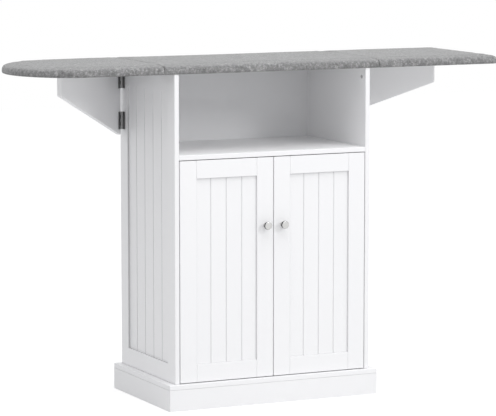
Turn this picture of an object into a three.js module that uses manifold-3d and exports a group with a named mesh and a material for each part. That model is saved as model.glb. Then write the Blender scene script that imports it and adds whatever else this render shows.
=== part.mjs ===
// Ironing board cabinet: a white two-door cupboard with an open cubby, whose padded grey top runs on
// to the left and right as two hinged leaves, each held up by a swing-out bracket.
// Millimetres, +X to the right, +Y to the back, +Z up. The origin lies on the floor, under the middle
// of the whole piece of furniture.
import * as THREE from 'three';
import { mergeVertices } from 'three/addons/utils/BufferGeometryUtils.js';
import Module from 'manifold-3d';

const wasm = await Module();
wasm.setup();

// ---- Driving dimensions -------------------------------------------------------------------------

// Carcass, all from one thickness of board
const PANEL_T = 12;
const CARCASS_W = 540;
const CARCASS_D = 344;
const UNDERSIDE_Z = 837; // floor to the underside of the ironing surface
const CUBBY_H = 201; // clear height of the open cubby under the top
const EASE = 0.8; // chamfer on every arris of a board
const JOINT = 0.25; // gap in a glued or screwed joint
const CLEAR = 0.3; // gap round a piece that sits in a housing

// Plinth
const PLINTH_H = 54;
const PLINTH_SIDE = 19; // how far the plinth stands out past each side
const PLINTH_FRONT = 10;
const PLINTH_BACK = 6;

// Side panels, milled on the outside to look like tongue-and-groove boards in a frame
const SIDE_FRAME_W = 46;
const SIDE_RECESS = 5;
const SIDE_BEAD_PITCH = 52.9;
const SIDE_BEADS = 4;
const BEAD_V = 3.4; // width of a V groove at the face, twice its depth

// Back panel of thin hardboard, slid down a groove in each side
const BACK_T = 3;
const BACK_SETBACK = 10;
const BACK_GROOVE = 5;

// Blind bores on the inside of the side panels
const BORE_DEPTH = 9;
const CAM_R = 5;
const CAM_DROP = 24; // from the top edge
const CAM_FRONT = 22; // from the front edge
const CAM_BACK = 32; // from the back edge
const PIN_INSET = 29; // shelf pin columns from the front and back edges
const PIN_PITCH = 40;
const PIN_R = 2.5;
const PIN_HEAD_R = 4;
const PIN_OUT = 9; // how far a pin stands out of the side
const PIN_COLLAR_T = 1.5;

// Loose shelf behind the doors
const INNER_SHELF_Z = 345; // its underside
const INNER_SHELF_SETBACK = 22; // from the front of the carcass
const INNER_SHELF_SIDE_GAP = 1.5;
const INNER_SHELF_BACK_GAP = 2;

// Doors: stiles, rails and a grooved centre panel
const DOOR_GAP = 2;
const DOOR_T = 15;
const STILE_W = 45;
const RAIL_W = 45;
const DOOR_RECESS = 5;
const DOOR_PANEL_T = 5;
const DOOR_GROOVE = 5; // depth of the groove that holds the centre panel
const DOOR_BEAD_PITCH = 42.3;
const DOOR_BEADS = 3;

// Round knob
const KNOB_Z = 452;
const KNOB_HEAD_R = 10;
const KNOB_NECK_R = 4.5;
const KNOB_FOOT_R = 6.5;
const KNOB_FOOT_T = 1.3;
const KNOB_OUT = 21;
const KNOB_HEAD_T = 6;
const KNOB_WAIST = 0.45; // where the neck is thinnest, as a share of the way to the head
const KNOB_FLARE = 0.8; // how much the neck widens towards both ends
const KNOB_ROUND = 1.6; // rounding of the head's edges
const KNOB_DISH = 0.4; // how deep its face is dished

// Concealed cup hinge
const CUP_R = 17.5;
const CUP_WALL = 2;
const CUP_DEPTH = 11;
const CUP_EDGE = 3.5; // from the door's edge to the cup
const CUP_FLANGE_R = 19;
const CUP_FLANGE_T = 1.2;
const CUP_EAR_W = 12;
const CUP_EAR_SPAN = 52;
const CUP_INSET_Z = 80; // from the door's top and bottom edge to a cup's centre
const ARM_H = 16;
const ARM_FOOT_L = 56;
const ARM_FOOT_T = 10.5;
const ARM_FOOT_Y = 40; // from the door's front face
const ARM_WING_H = 50;
const ARM_WING_L = 20;
const ARM_WING_T = 2.2;
const ARM_WING_SETBACK = 4; // from the foot's front end
const ARM_SHOULDER = 4; // the arm stays this far behind the door
const ARM_NECK = 5;
const NOSE_IN = 18; // nose of the arm, measured from the door's hinge edge
const NOSE_OUT = 28;
const NOSE_GAP = 0.5; // between the nose and the floor of the cup

// Ironing surface: a board in a padded cover, in three parts
const BOARD_OVERHANG = 3.5; // past the carcass's front and back
const BOARD_T = 22;
const SEAM_OVERHANG = 26; // from each side of the carcass to the middle of the seam
const SEAM_GAP = 2;
const LEFT_REACH = 641; // from the middle of the carcass to the tip of the left leaf
const RIGHT_REACH = 650;
const NOSE_L = 140; // length of the left leaf's elliptical nose
const RIGHT_CORNER_R = 25;
const SEAM_CORNER_R = 3;
const SKIRT_T = 3; // thickness of the cover where it hangs over the board's edge
const CROWN = 1.4; // how much the padding rises towards the middle
// The padded edge from the foot up: how far in from the outline, and how high as a share of the
// height at the shoulder
const EDGE_PROFILE = [[1.6, 0], [0.5, 0.07], [0, 0.24], [0.2, 0.55], [0.9, 0.74], [2.4, 0.9], [5.2, 1]];
// The crown beyond the shoulder: how far in, and the share of the rise reached there
const CROWN_PROFILE = [[12, 0.3], [34, 0.65], [80, 0.92], [140, 1]];
const SEAM_TIGHT = 0.4; // the cover is pulled this much tighter where two parts meet

// Flap hinges under the seams
const FLAP_R = 2.2;
const FLAP_LENGTH = 45;
const FLAP_PLATE_W = 17;
const FLAP_PLATE_T = 1.2;
const FLAP_Y = 70; // from the middle of the board to the middle of each hinge

// Swing-out brackets
const BRACKET_L = 322;
const BRACKET_T = 12;
const BRACKET_ROOT_DROP = 177; // from the underside of the top to the lowest point, at the hinge
const BRACKET_TIP_DROP = 54; // the same, at the free end
const BRACKET_CORNER_R = 3;
const BRACKET_OPEN = 49.4; // degrees between the side and the bracket, as it stands
const BUMPER_T = 2.4;
const BUMPER_R = 5;
const BUMPER_FROM_END = 22;

// Knuckle hinges of both sizes
const KNUCKLES = 5;
const PIN_SHARE = 0.5; // the pin's radius, as a share of the knuckle's

// Butt hinges that carry the brackets
const BUTT_R = 3;
const BUTT_LENGTH = 45;
const BUTT_PLATE_W = 14;
const BUTT_PLATE_T = 1.2;
const BUTT_FROM_BACK = 18; // from the carcass's back edge to the pin
const BUTT_UPPER_DROP = 57; // from the underside of the top to the lower end of each hinge
const BUTT_LOWER_DROP = 162;

// How finely round things are faceted
const KNUCKLE_SIDES = 12;
const PIN_SIDES = 8;
const BORE_SIDES = 16;
const TURNED_SIDES = 24;
const CUP_SIDES = 24;
const NOSE_STEPS = 28;
const CORNER_STEPS = 4;

// ---- Sizes worked out from them -----------------------------------------------------------------

const BASE_TOP_Z = PLINTH_H + PANEL_T;
const SHELF_TOP_Z = UNDERSIDE_Z - CUBBY_H;
const SHELF_Z = SHELF_TOP_Z - PANEL_T;
const FRONT_Y = -CARCASS_D / 2;
const BACK_Y = CARCASS_D / 2;
const OUTER_X = CARCASS_W / 2;
const INNER_X = OUTER_X - PANEL_T;
const BACK_PANEL_Y = BACK_Y - BACK_SETBACK - BACK_T; // its front face
const PLINTH_X = OUTER_X + PLINTH_SIDE;
const PLINTH_FRONT_Y = FRONT_Y - PLINTH_FRONT;
const PLINTH_BACK_Y = BACK_Y + PLINTH_BACK;
const DOOR_W = (2 * INNER_X - 3 * DOOR_GAP) / 2;
const DOOR_BOTTOM_Z = BASE_TOP_Z + DOOR_GAP;
const DOOR_H = SHELF_Z - DOOR_GAP - DOOR_BOTTOM_Z;
const DOOR_HINGE_X = INNER_X - DOOR_GAP;
const CUP_X = CUP_EDGE + CUP_R; // from the door's hinge edge
const NOSE_TIP = DOOR_T - CUP_DEPTH + CUP_WALL + NOSE_GAP; // from the door's front face
const BOARD_D = CARCASS_D + 2 * BOARD_OVERHANG;
const SEAM_X = OUTER_X + SEAM_OVERHANG;
const SEAM_EDGE_X = SEAM_X - SEAM_GAP / 2;
const CORE_T = PANEL_T;
const BUTT_AXIS_X = OUTER_X + JOINT + BUTT_R;
const BUTT_AXIS_Y = BACK_Y - BUTT_FROM_BACK;
const BRACKET_FACE = BUTT_R + CLEAR; // from the pin's axis to the bracket's inner face
const BRACKET_TOP_Z = UNDERSIDE_Z - BUMPER_T - CLEAR;
const BRACKET_ROOT_Z = UNDERSIDE_Z - BRACKET_ROOT_DROP;
const BRACKET_TIP_Z = UNDERSIDE_Z - BRACKET_TIP_DROP;

// The middle of the whole, which becomes the origin
const FRONTMOST_Y = FRONT_Y - JOINT - KNOB_OUT;
const CENTRE_X = (RIGHT_REACH - LEFT_REACH) / 2;
const CENTRE_Y = (FRONTMOST_Y + PLINTH_BACK_Y) / 2;

// ---- Finishes -----------------------------------------------------------------------------------

const WHITE = new THREE.MeshStandardMaterial({ color: 0xf3f3f5, roughness: 0.5, metalness: 0 });
const HARDBOARD = new THREE.MeshStandardMaterial({ color: 0xededee, roughness: 0.65, metalness: 0 });
const FACED_BOARD = new THREE.MeshStandardMaterial({ color: 0xe4e4e3, roughness: 0.6, metalness: 0 });
const MELANGE = new THREE.MeshStandardMaterial({ color: 0x9c9c9d, roughness: 0.95, metalness: 0 });
const NICKEL = new THREE.MeshStandardMaterial({ color: 0xb9b8b5, roughness: 0.3, metalness: 1 });
const DARK_STEEL = new THREE.MeshStandardMaterial({ color: 0x5b5b5c, roughness: 0.45, metalness: 1 });
const ZINC = new THREE.MeshStandardMaterial({ color: 0xa9abad, roughness: 0.4, metalness: 1 });
const RUBBER = new THREE.MeshStandardMaterial({ color: 0xd8d8d6, roughness: 0.8, metalness: 0 });

// ---- Shared ways of making a piece --------------------------------------------------------------

// Adds a named piece to a group, with its own copy of the finish
function add(group, name, geometry, finish, x = 0, y = 0, z = 0) {
  const mesh = new THREE.Mesh(geometry, finish.clone());
  mesh.name = name;
  mesh.position.set(x, y, z);
  group.add(mesh);
  return mesh;
}

function toSolid(geometry) {
  const bare = geometry.index ? geometry.toNonIndexed() : geometry.clone();
  bare.deleteAttribute('normal');
  bare.deleteAttribute('uv');
  const merged = mergeVertices(bare, 1e-4);
  return new wasm.Manifold(new wasm.Mesh({
    numProp: 3,
    vertProperties: new Float32Array(merged.attributes.position.array),
    triVerts: new Uint32Array(merged.index.array),
  }));
}

function toGeometry(solid) {
  const mesh = solid.getMesh();
  const geometry = new THREE.BufferGeometry();
  geometry.setAttribute('position', new THREE.BufferAttribute(new Float32Array(mesh.vertProperties), 3));
  geometry.setIndex(new THREE.BufferAttribute(new Uint32Array(mesh.triVerts), 1));
  return geometry;
}

function join(...geometries) {
  return toGeometry(geometries.map(toSolid).reduce((whole, next) => whole.add(next)));
}

function cut(geometry, cutters) {
  return toGeometry(cutters.reduce((whole, cutter) => whole.subtract(toSolid(cutter)), toSolid(geometry)));
}

function block(width, depth, height, x = 0, y = 0, z = 0) {
  return new THREE.BoxGeometry(width, depth, height).translate(x, y, z);
}

// A block given by its low and high corner along each axis
function span([x0, x1], [y0, y1], [z0, z1]) {
  return block(x1 - x0, y1 - y0, z1 - z0, (x0 + x1) / 2, (y0 + y1) / 2, (z0 + z1) / 2);
}

// A sawn board with its twelve arrises and eight corners eased
function easedBlock(width, depth, height) {
  const x = width / 2;
  const y = depth / 2;
  const outline = new THREE.Shape();
  outline.moveTo(EASE - x, -y);
  outline.lineTo(x - EASE, -y);
  outline.lineTo(x, EASE - y);
  outline.lineTo(x, y - EASE);
  outline.lineTo(x - EASE, y);
  outline.lineTo(EASE - x, y);
  outline.lineTo(-x, y - EASE);
  outline.lineTo(-x, EASE - y);
  outline.closePath();
  return easedPlate(outline, height).translate(0, 0, -height / 2);
}

// An outline in plan, made into a plate that stands on z = 0 with its two rims eased
function easedPlate(outline, thickness) {
  const plate = new THREE.ExtrudeGeometry(outline, {
    depth: thickness - 2 * EASE,
    bevelEnabled: true,
    bevelThickness: EASE,
    bevelSize: EASE,
    bevelOffset: -EASE,
    bevelSegments: 1,
    curveSegments: CORNER_STEPS,
  });
  return plate.translate(0, 0, EASE);
}

function prism(outline, height) {
  return new THREE.ExtrudeGeometry(outline, { depth: height, bevelEnabled: false });
}

// A square bar standing on its edge: the cutter for one V groove that runs up and down
function veeCutter(height, x, y) {
  const side = BEAD_V / Math.SQRT2;
  return block(side, side, height).rotateZ(Math.PI / 4).translate(x, y, 0);
}

function rodAlongX(radius, length, x, y, z, sides = BORE_SIDES) {
  return new THREE.CylinderGeometry(radius, radius, length, sides).rotateZ(Math.PI / 2).translate(x, y, z);
}

function rodAlongY(radius, length, x, y, z, sides = BORE_SIDES) {
  return new THREE.CylinderGeometry(radius, radius, length, sides).translate(x, y, z);
}

function rodAlongZ(radius, length, z, sides) {
  return new THREE.CylinderGeometry(radius, radius, length, sides).rotateX(Math.PI / 2).translate(0, 0, z);
}

// Offsets of evenly spaced grooves about the middle of a panel
function spread(count, pitch) {
  return Array.from({ length: count }, (_, i) => (i - (count - 1) / 2) * pitch);
}

// One half of a knuckle hinge, with its pin along Z through the origin. The half that holds the
// pin has the first, third and fifth knuckle; the other half has the two between, bored for it.
function hingeHalf({ length, radius, plateWidth, plateY, toward, holdsPin }) {
  const pitch = length / KNUCKLES;
  const pinR = radius * PIN_SHARE;
  const inner = radius + CLEAR + JOINT;
  const plateX = [inner, plateWidth].map((x) => x * toward).sort((a, b) => a - b);
  const webX = [0, inner + JOINT].map((x) => x * toward).sort((a, b) => a - b);
  const parts = [span(plateX, plateY, [-length / 2, length / 2])];
  for (let i = holdsPin ? 0 : 1; i < KNUCKLES; i += 2) {
    const middle = (i - (KNUCKLES - 1) / 2) * pitch;
    const half = (pitch - CLEAR) / 2;
    parts.push(rodAlongZ(radius, 2 * half, middle, KNUCKLE_SIDES));
    parts.push(span(webX, plateY, [middle - half, middle + half]));
  }
  if (holdsPin) {
    parts.push(rodAlongZ(pinR, length - CLEAR, 0, PIN_SIDES));
    return join(...parts);
  }
  return cut(join(...parts), [rodAlongZ(pinR + CLEAR, length + 2, 0, PIN_SIDES)]);
}

// ---- Plinth: four mitred boards under the base panel ------------------------------------------

function plinthBoard(length) {
  const outline = new THREE.Shape();
  outline.moveTo(-length / 2, 0);
  outline.lineTo(length / 2, 0);
  outline.lineTo(length / 2 - PANEL_T, PANEL_T);
  outline.lineTo(PANEL_T - length / 2, PANEL_T);
  outline.closePath();
  return prism(outline, PLINTH_H - JOINT);
}

function addPlinth(group) {
  const width = 2 * (PLINTH_X - JOINT);
  const depth = PLINTH_BACK_Y - PLINTH_FRONT_Y - 2 * JOINT;
  const middleY = (PLINTH_FRONT_Y + PLINTH_BACK_Y) / 2;
  add(group, 'plinth_front', plinthBoard(width), WHITE, 0, PLINTH_FRONT_Y);
  add(group, 'plinth_back', plinthBoard(width), WHITE, 0, PLINTH_BACK_Y).rotation.z = Math.PI;
  add(group, 'plinth_left', plinthBoard(depth), WHITE, -PLINTH_X, middleY).rotation.z = -Math.PI / 2;
  add(group, 'plinth_right', plinthBoard(depth), WHITE, PLINTH_X, middleY).rotation.z = Math.PI / 2;
  const base = easedBlock(2 * PLINTH_X, PLINTH_BACK_Y - PLINTH_FRONT_Y, PANEL_T);
  add(group, 'base_panel', base, WHITE, 0, middleY, PLINTH_H + PANEL_T / 2);
}

// ---- Side panels --------------------------------------------------------------------------------

function sidePanel(side) {
  const height = UNDERSIDE_Z - BASE_TOP_Z - 2 * JOINT;
  const middleZ = (UNDERSIDE_Z + BASE_TOP_Z) / 2;
  const fieldD = CARCASS_D - 2 * SIDE_FRAME_W;
  const fieldH = height - 2 * SIDE_FRAME_W;
  const outerFace = side * PANEL_T / 2;
  const innerFace = -outerFace;
  const cutters = [block(2 * SIDE_RECESS, fieldD, fieldH, outerFace, 0, 0)];
  for (const y of spread(SIDE_BEADS, SIDE_BEAD_PITCH)) {
    cutters.push(veeCutter(fieldH, outerFace - side * SIDE_RECESS, y));
  }
  const backY = BACK_PANEL_Y + BACK_T / 2;
  cutters.push(block(2 * BACK_GROOVE, BACK_T + 2 * CLEAR, height + 2, innerFace, backY, 0));
  const camZ = height / 2 - CAM_DROP;
  for (const y of [FRONT_Y + CAM_FRONT, BACK_Y - CAM_BACK]) {
    cutters.push(rodAlongX(CAM_R, 2 * BORE_DEPTH, innerFace, y, camZ));
  }
  const pinZ = INNER_SHELF_Z - PIN_R - CLEAR - middleZ;
  for (const y of [FRONT_Y + PIN_INSET, BACK_Y - PIN_INSET]) {
    for (const step of [-1, 0, 1]) {
      const z = pinZ + step * PIN_PITCH;
      cutters.push(rodAlongX(PIN_R + CLEAR, 2 * BORE_DEPTH, innerFace, y, z, PIN_SIDES));
    }
  }
  return cut(easedBlock(PANEL_T, CARCASS_D, height), cutters);
}

function addSides(group) {
  const middleZ = (UNDERSIDE_Z + BASE_TOP_Z) / 2;
  add(group, 'side_panel_left', sidePanel(-1), WHITE, PANEL_T / 2 - OUTER_X, 0, middleZ);
  add(group, 'side_panel_right', sidePanel(1), WHITE, OUTER_X - PANEL_T / 2, 0, middleZ);
}

// ---- Shelves, shelf pins and back ---------------------------------------------------------------

// A turned steel pin: the thin end goes into the side, the thick end carries the shelf
function shelfPin() {
  const inside = -(BORE_DEPTH - CLEAR);
  const profile = [
    [0, inside],
    [PIN_R, inside],
    [PIN_R, CLEAR],
    [PIN_HEAD_R, CLEAR],
    [PIN_HEAD_R, CLEAR + PIN_COLLAR_T],
    [PIN_R, CLEAR + PIN_COLLAR_T],
    [PIN_R, PIN_OUT],
    [0, PIN_OUT],
  ];
  return new THREE.LatheGeometry(profile.map(([r, y]) => new THREE.Vector2(r, y)), PIN_SIDES);
}

function addShelves(group) {
  const depth = BACK_PANEL_Y - CLEAR - FRONT_Y;
  const cubbyFloor = easedBlock(2 * (INNER_X - JOINT), depth, PANEL_T);
  add(group, 'cubby_floor', cubbyFloor, WHITE, 0, FRONT_Y + depth / 2, SHELF_Z + PANEL_T / 2);

  const innerFront = FRONT_Y + INNER_SHELF_SETBACK;
  const innerBack = BACK_PANEL_Y - INNER_SHELF_BACK_GAP;
  const shelfW = 2 * (INNER_X - INNER_SHELF_SIDE_GAP);
  const shelf = easedBlock(shelfW, innerBack - innerFront, PANEL_T);
  // a half-round notch over each pin's collar, so that the shelf lies on the thick end
  const shelfZ = INNER_SHELF_Z + PANEL_T / 2;
  const middleY = (innerFront + innerBack) / 2;
  const pinZ = INNER_SHELF_Z - PIN_R - CLEAR;
  const notches = [];
  for (const side of [-1, 1]) {
    for (const y of [FRONT_Y + PIN_INSET, BACK_Y - PIN_INSET]) {
      const reach = PIN_COLLAR_T + 2 * CLEAR;
      const x = side * (INNER_X - reach / 2);
      notches.push(rodAlongX(PIN_HEAD_R + CLEAR, reach, x, y - middleY, pinZ - shelfZ, PIN_SIDES));
    }
  }
  add(group, 'inner_shelf', cut(shelf, notches), WHITE, 0, middleY, shelfZ);

  for (const [column, y] of [['front', FRONT_Y + PIN_INSET], ['back', BACK_Y - PIN_INSET]]) {
    const left = add(group, `shelf_pin_left_${column}`, shelfPin(), ZINC, -INNER_X, y, pinZ);
    left.rotation.z = -Math.PI / 2;
    const right = add(group, `shelf_pin_right_${column}`, shelfPin(), ZINC, INNER_X, y, pinZ);
    right.rotation.z = Math.PI / 2;
  }

  const backW = 2 * (INNER_X + BACK_GROOVE - CLEAR);
  const backH = UNDERSIDE_Z - BASE_TOP_Z - 2 * CLEAR;
  const backZ = (UNDERSIDE_Z + BASE_TOP_Z) / 2;
  add(group, 'back_panel', block(backW, BACK_T, backH), HARDBOARD, 0, BACK_PANEL_Y + BACK_T / 2, backZ);
}

// ---- Doors --------------------------------------------------------------------------------------

const GROOVE_W = DOOR_PANEL_T + 2 * JOINT; // width of the groove that holds the centre panel
const GROOVE_Y = DOOR_RECESS + DOOR_PANEL_T / 2; // its middle, from the door's front face
const TENON = DOOR_GROOVE - CLEAR;

// An upright of the frame. It is grooved along one edge, and bored for two cups where it is hinged.
function stile(grooveSide, cupOffsets) {
  const cutters = [
    block(2 * DOOR_GROOVE, GROOVE_W, DOOR_H + 2, grooveSide * STILE_W / 2, GROOVE_Y - DOOR_T / 2, 0),
  ];
  const cupX = grooveSide * (CUP_X - STILE_W / 2);
  for (const z of cupOffsets) {
    const depth = 2 * (CUP_DEPTH + CLEAR);
    cutters.push(rodAlongY(CUP_R + CLEAR, depth, cupX, DOOR_T / 2, z, CUP_SIDES));
  }
  return cut(easedBlock(STILE_W, DOOR_T, DOOR_H), cutters);
}

// A cross rail, with a stub tenon at each end and a groove along the edge that faces the panel
function rail(length, grooveSide) {
  const y = GROOVE_Y - DOOR_T / 2;
  const tenons = block(length + 2 * TENON, DOOR_PANEL_T, RAIL_W - 2 * EASE, 0, y, 0);
  const groove = block(length + 4 * TENON, GROOVE_W, 2 * DOOR_GROOVE, 0, y, grooveSide * RAIL_W / 2);
  return cut(join(easedBlock(length, DOOR_T, RAIL_W), tenons), [groove]);
}

function centrePanel(width, height) {
  const front = -DOOR_PANEL_T / 2;
  const grooves = spread(DOOR_BEADS, DOOR_BEAD_PITCH).map((x) => veeCutter(height + 2, x, front));
  return cut(block(width, DOOR_PANEL_T, height), grooves);
}

// A turned knob: a foot, a waisted neck and a dished, round-edged head
function knob() {
  const headBack = KNOB_OUT - KNOB_HEAD_T;
  const corner = KNOB_ROUND * (1 - Math.SQRT1_2);
  const rimR = KNOB_HEAD_R - KNOB_ROUND;
  const profile = [
    [0, 0],
    [KNOB_FOOT_R, 0],
    [KNOB_FOOT_R, KNOB_FOOT_T],
    [KNOB_NECK_R + KNOB_FLARE, 2 * KNOB_FOOT_T],
    [KNOB_NECK_R, headBack * KNOB_WAIST],
    [KNOB_NECK_R + KNOB_FLARE, headBack - KNOB_ROUND],
    [rimR, headBack],
    [KNOB_HEAD_R, headBack + KNOB_ROUND],
    [KNOB_HEAD_R, KNOB_OUT - KNOB_ROUND],
    [KNOB_HEAD_R - corner, KNOB_OUT - corner],
    [rimR, KNOB_OUT],
    [rimR - KNOB_ROUND / 2, KNOB_OUT - KNOB_DISH],
    [0, KNOB_OUT - KNOB_DISH],
  ];
  return new THREE.LatheGeometry(profile.map(([r, y]) => new THREE.Vector2(r, y)), TURNED_SIDES);
}

// The cup of a concealed hinge, its mouth towards +Y, with a rim and two screw ears on the door's back
function hingeCup() {
  const profile = [
    [0, -CUP_DEPTH],
    [CUP_R, -CUP_DEPTH],
    [CUP_R, CLEAR],
    [CUP_FLANGE_R, CLEAR],
    [CUP_FLANGE_R, CLEAR + CUP_FLANGE_T],
    [CUP_R - CUP_WALL, CLEAR + CUP_FLANGE_T],
    [CUP_R - CUP_WALL, CUP_WALL - CUP_DEPTH],
    [0, CUP_WALL - CUP_DEPTH],
  ];
  const cup = new THREE.LatheGeometry(profile.map(([r, y]) => new THREE.Vector2(r, y)), CUP_SIDES);
  const earL = CUP_EAR_SPAN / 2 - CUP_R + CUP_WALL / 2;
  const earZ = CUP_EAR_SPAN / 2 - earL / 2;
  const earY = CLEAR + CUP_FLANGE_T / 2;
  const upper = block(CUP_EAR_W, CUP_FLANGE_T, earL, 0, earY, earZ);
  const lower = block(CUP_EAR_W, CUP_FLANGE_T, earL, 0, earY, -earZ);
  return join(cup, upper, lower);
}

// The cranked arm of a concealed hinge, drawn in plan from the door's hinge edge and front face
function hingeArm(inward) {
  const foot = JOINT - DOOR_GAP;
  const footEnd = ARM_FOOT_Y + ARM_FOOT_L;
  const heel = foot + ARM_FOOT_T;
  const shoulder = DOOR_T + ARM_SHOULDER;
  const crook = shoulder + ARM_NECK;
  const points = [
    [foot, ARM_FOOT_Y],
    [NOSE_IN / 2, shoulder + NOSE_IN / 2],
    [NOSE_IN, shoulder],
    [NOSE_IN, NOSE_TIP],
    [NOSE_OUT, NOSE_TIP],
    [NOSE_OUT, crook],
    [NOSE_IN, crook + NOSE_OUT - NOSE_IN],
    [heel, ARM_FOOT_Y + ARM_FOOT_T],
    [heel, footEnd],
    [foot, footEnd],
  ];
  const outline = new THREE.Shape(points.map(([x, y]) => new THREE.Vector2(inward * x, y)));
  const arm = prism(outline, ARM_H).translate(0, 0, -ARM_H / 2);
  const wingY = ARM_FOOT_Y + ARM_WING_SETBACK;
  const wingX = [inward * foot, inward * (foot + ARM_WING_T)].sort((a, b) => a - b);
  const wing = span(wingX, [wingY, wingY + ARM_WING_L], [-ARM_WING_H / 2, ARM_WING_H / 2]);
  return join(arm, wing);
}

function addDoor(group, side, label) {
  const inward = -side;
  const hingeX = side * DOOR_HINGE_X;
  const middleZ = DOOR_BOTTOM_Z + DOOR_H / 2;
  const middleY = FRONT_Y + DOOR_T / 2;
  const cupZ = DOOR_H / 2 - CUP_INSET_Z;
  const cupOffsets = [cupZ, -cupZ];
  const along = (x) => hingeX + inward * x;
  const at = (name, geometry, finish, x, y, z) => add(group, `${label}_${name}`, geometry, finish, x, y, z);

  at('hinge_stile', stile(inward, cupOffsets), WHITE, along(STILE_W / 2), middleY, middleZ);
  at('knob_stile', stile(-inward, []), WHITE, along(DOOR_W - STILE_W / 2), middleY, middleZ);

  const openW = DOOR_W - 2 * STILE_W;
  const openH = DOOR_H - 2 * RAIL_W;
  const railL = openW - 2 * JOINT;
  const railZ = (DOOR_H - RAIL_W) / 2;
  at('top_rail', rail(railL, -1), WHITE, along(DOOR_W / 2), middleY, middleZ + railZ);
  at('bottom_rail', rail(railL, 1), WHITE, along(DOOR_W / 2), middleY, middleZ - railZ);

  const panel = centrePanel(openW + 2 * TENON, openH + 2 * TENON);
  at('centre_panel', panel, WHITE, along(DOOR_W / 2), FRONT_Y + GROOVE_Y, middleZ);

  const knobMesh = at('knob', knob(), NICKEL, along(DOOR_W - STILE_W / 2), FRONT_Y - JOINT, KNOB_Z);
  knobMesh.rotation.x = Math.PI;

  for (const [place, z] of [['upper', cupZ], ['lower', -cupZ]]) {
    at(`hinge_cup_${place}`, hingeCup(), ZINC, along(CUP_X), FRONT_Y + DOOR_T, middleZ + z);
    at(`hinge_arm_${place}`, hingeArm(inward), ZINC, hingeX, FRONT_Y, middleZ + z);
  }
}

// ---- Ironing surface ----------------------------------------------------------------------------

// The plan of one part of the board, as points counter-clockwise from the near right corner
function roundedEnds(x0, x1, leftR, rightR) {
  const y = BOARD_D / 2;
  const outline = new THREE.Shape();
  outline.absarc(x1 - rightR, rightR - y, rightR, -Math.PI / 2, 0);
  outline.absarc(x1 - rightR, y - rightR, rightR, 0, Math.PI / 2);
  outline.absarc(x0 + leftR, y - leftR, leftR, Math.PI / 2, Math.PI);
  outline.absarc(x0 + leftR, leftR - y, leftR, Math.PI, 1.5 * Math.PI);
  return distinct(outline.getPoints(CORNER_STEPS));
}

function nosedLeaf(tipX, seamX) {
  const y = BOARD_D / 2;
  const noseX = tipX + NOSE_L;
  const r = SEAM_CORNER_R;
  const outline = new THREE.Shape();
  outline.absarc(seamX - r, r - y, r, -Math.PI / 2, 0);
  outline.absarc(seamX - r, y - r, r, 0, Math.PI / 2);
  const corners = outline.getPoints(CORNER_STEPS);
  const nose = new THREE.EllipseCurve(noseX, 0, NOSE_L, y, Math.PI / 2, 1.5 * Math.PI);
  return distinct([...corners, ...nose.getPoints(NOSE_STEPS)]);
}

function distinct(points) {
  return points.filter((p, i) => p.distanceTo(points[(i + 1) % points.length]) > 1e-6);
}

// Draws an outline in by the same distance all round, towards a line along its middle
function drawnIn(points, inset, seams) {
  const half = BOARD_D / 2;
  const low = Math.min(...points.map((p) => p.x)) + half;
  const high = Math.max(...points.map((p) => p.x)) - half;
  const keep = 1 - inset / half;
  return points.map((p) => {
    const spineX = Math.min(Math.max(p.x, Math.min(low, high)), Math.max(low, high));
    const x = spineX + (p.x - spineX) * keep;
    const atSeam = seams.some((seam) => Math.abs(p.x - seam) <= SEAM_CORNER_R);
    return new THREE.Vector2(atSeam ? p.x + (x - p.x) * SEAM_TIGHT : x, p.y * keep);
  });
}

// The padded cover of one part: rings of the outline, rolled under at the foot, fullest a third of
// the way up, rounded over the edge and then rising gently to the crown
function padding(points, seams) {
  const shoulder = BOARD_T - CROWN;
  const profile = [
    ...EDGE_PROFILE.map(([inset, share]) => [inset, shoulder * share]),
    ...CROWN_PROFILE.map(([inset, share]) => [inset, shoulder + CROWN * share]),
  ];
  const rings = profile.map(([inset]) => drawnIn(points, inset, seams));
  const count = points.length;
  const positions = [];
  rings.forEach((ring, level) => ring.forEach((p) => positions.push(p.x, p.y, profile[level][1])));
  const faces = [];
  for (let level = 0; level + 1 < rings.length; level += 1) {
    for (let i = 0; i < count; i += 1) {
      const a = level * count + i;
      const b = level * count + (i + 1) % count;
      faces.push(a, b, b + count, a, b + count, a + count);
    }
  }
  const foot = THREE.ShapeUtils.triangulateShape(rings[0], []);
  foot.forEach(([a, b, c]) => faces.push(c, b, a));
  const last = (rings.length - 1) * count;
  const top = THREE.ShapeUtils.triangulateShape(rings[rings.length - 1], []);
  top.forEach(([a, b, c]) => faces.push(last + a, last + b, last + c));
  const geometry = new THREE.BufferGeometry();
  geometry.setAttribute('position', new THREE.Float32BufferAttribute(positions, 3));
  geometry.setIndex(faces);
  return geometry;
}

// Room in the underside for the plates and knuckles of the two hinges at one seam
function flapHousings(seamX) {
  const halfL = FLAP_LENGTH / 2 + CLEAR;
  const plateReach = FLAP_PLATE_W + CLEAR;
  const knuckleReach = FLAP_R + 2 * CLEAR;
  const housings = [];
  for (const y of [-FLAP_Y, FLAP_Y]) {
    const along = [y - halfL, y + halfL];
    housings.push(span([seamX - plateReach, seamX + plateReach], along, [-1, FLAP_PLATE_T + CLEAR]));
    housings.push(span([seamX - knuckleReach, seamX + knuckleReach], along, [-1, knuckleReach]));
  }
  return housings;
}

function addBoardPart(group, label, points, seams) {
  const housings = seams.flatMap((seam) => flapHousings(Math.sign(seam) * SEAM_X));
  const coreOutline = new THREE.Shape(drawnIn(points, SKIRT_T, []));
  const core = cut(prism(coreOutline, CORE_T), housings);
  add(group, `${label}_board`, core, FACED_BOARD, 0, 0, UNDERSIDE_Z);
  const pocketOutline = new THREE.Shape(drawnIn(points, SKIRT_T - CLEAR, []));
  const pocket = prism(pocketOutline, CORE_T + CLEAR + 1).translate(0, 0, -1);
  const cover = cut(padding(points, seams), [pocket, ...housings]);
  add(group, `${label}_cover`, cover, MELANGE, 0, 0, UNDERSIDE_Z);
}

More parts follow.
